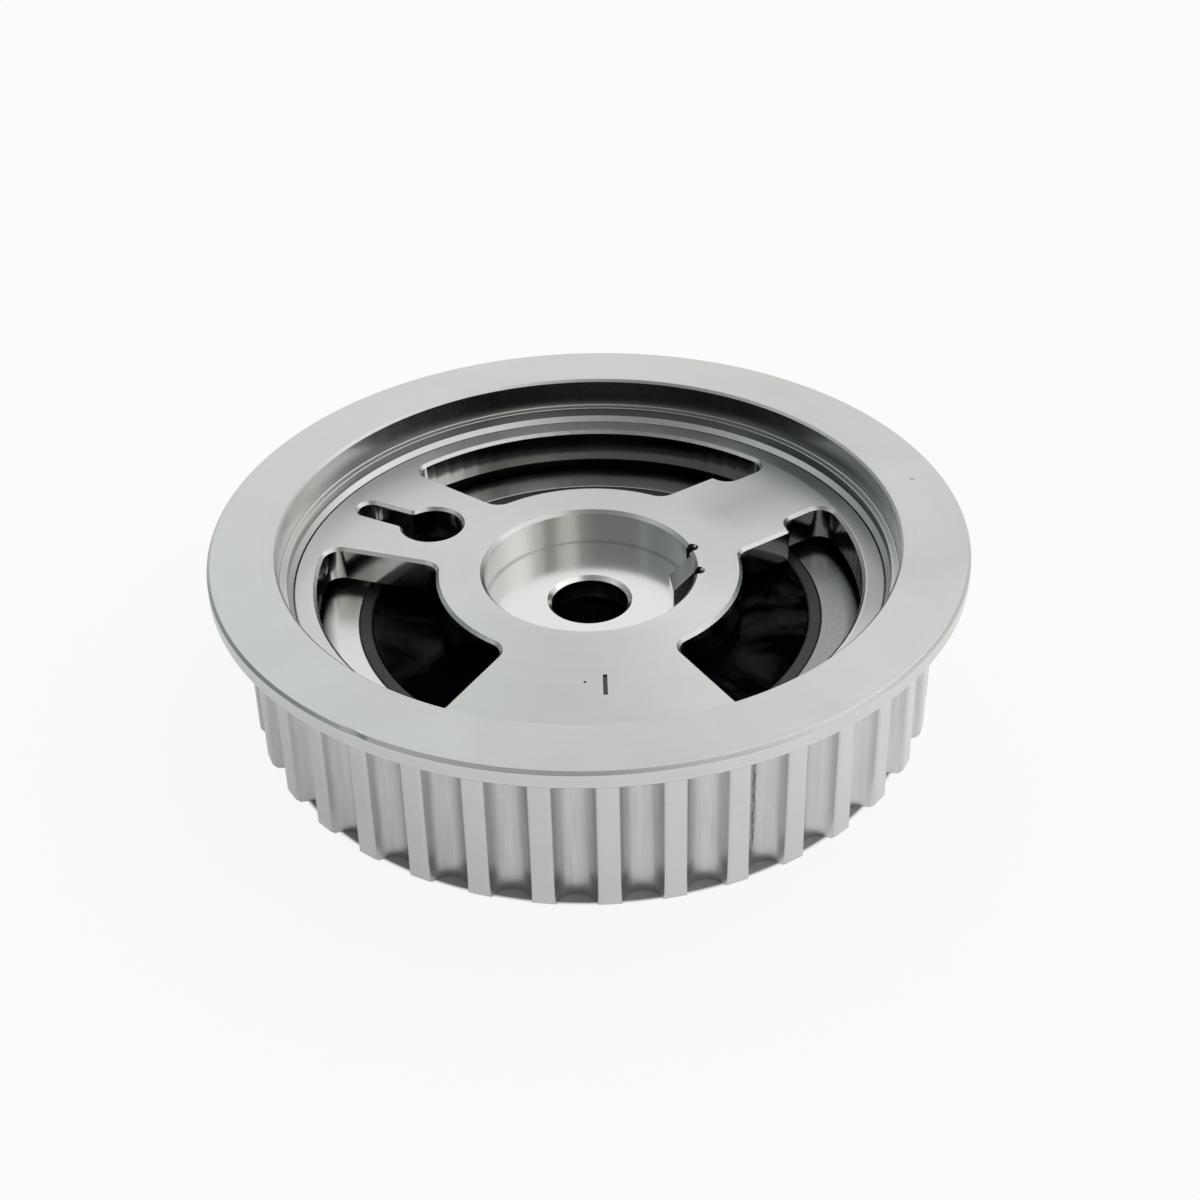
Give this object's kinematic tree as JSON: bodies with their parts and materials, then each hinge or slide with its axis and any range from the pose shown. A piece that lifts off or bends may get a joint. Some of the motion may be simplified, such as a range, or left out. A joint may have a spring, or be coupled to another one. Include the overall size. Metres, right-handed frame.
{
  "type": "cam phaser",
  "caption": "Belt-driven cam phaser: flanged toothed pulley around a vane housing, with a spoked, keyed hub plate that turns inside it to shift the cam timing.",
  "frame": {"origin": "centre of the bottom face, on the axle", "axes": "+Z along the axle towards the flange and the bolt head, -Y towards the wide spoke with the index mark"},
  "size_m": [0.1174, 0.1174, 0.0286],
  "materials": {
    "turned_steel": "fine turned, satin on the teeth",
    "satin_steel": "satin",
    "black_rotor": "black, slightly glossy",
    "seal_rubber": "smooth dark rubber",
    "dark_fastener": "dark oiled steel",
    "spring_steel": "bright spring steel",
    "strip_plastic": "dull dark plastic"
  },
  "bodies": {
    "driving_side": {"toothed_pulley": "turned_steel", "belt_flange": "turned_steel", "front_cover": "satin_steel", "front_seal": "seal_rubber", "stator": "satin_steel", "rear_cover": "satin_steel", "rear_seal_ring": "seal_rubber", "cover_screws": "dark_fastener", "stator_key_pins": "dark_fastener", "lobe_seal_1": "strip_plastic", "lobe_seal_2": "strip_plastic", "lobe_seal_3": "strip_plastic", "lobe_seal_4": "strip_plastic", "lobe_spring_1": "spring_steel", "lobe_spring_2": "spring_steel", "lobe_spring_3": "spring_steel", "lobe_spring_4": "spring_steel"},
    "driven_side": {"hub_plate": "turned_steel", "rotor": "black_rotor", "drive_dowels": "dark_fastener", "lock_spring": "spring_steel", "vane_seal_1": "strip_plastic", "vane_seal_2": "strip_plastic", "vane_seal_3": "strip_plastic", "vane_seal_4": "strip_plastic", "vane_spring_1": "spring_steel", "vane_spring_2": "spring_steel", "vane_spring_3": "spring_steel", "vane_spring_4": "spring_steel"},
    "lock_pin": {"lock_pin": "dark_fastener"}
  },
  "joints": [
    {"name": "phase_turn", "type": "hinge", "parent": "driving_side", "child": "driven_side", "pos_m": [0, 0, 0.01], "axis": [0, 0, 1], "range_deg": [0, 25]},
    {"name": "lock_pin_slide", "type": "slide", "parent": "driven_side", "child": "lock_pin", "axis": [0, 0, 1], "range_m": [0, 0.0014], "stiffness_N_per_m": 400, "springref_m": -0.003, "deforming": ["lock_spring"]}
  ]
}
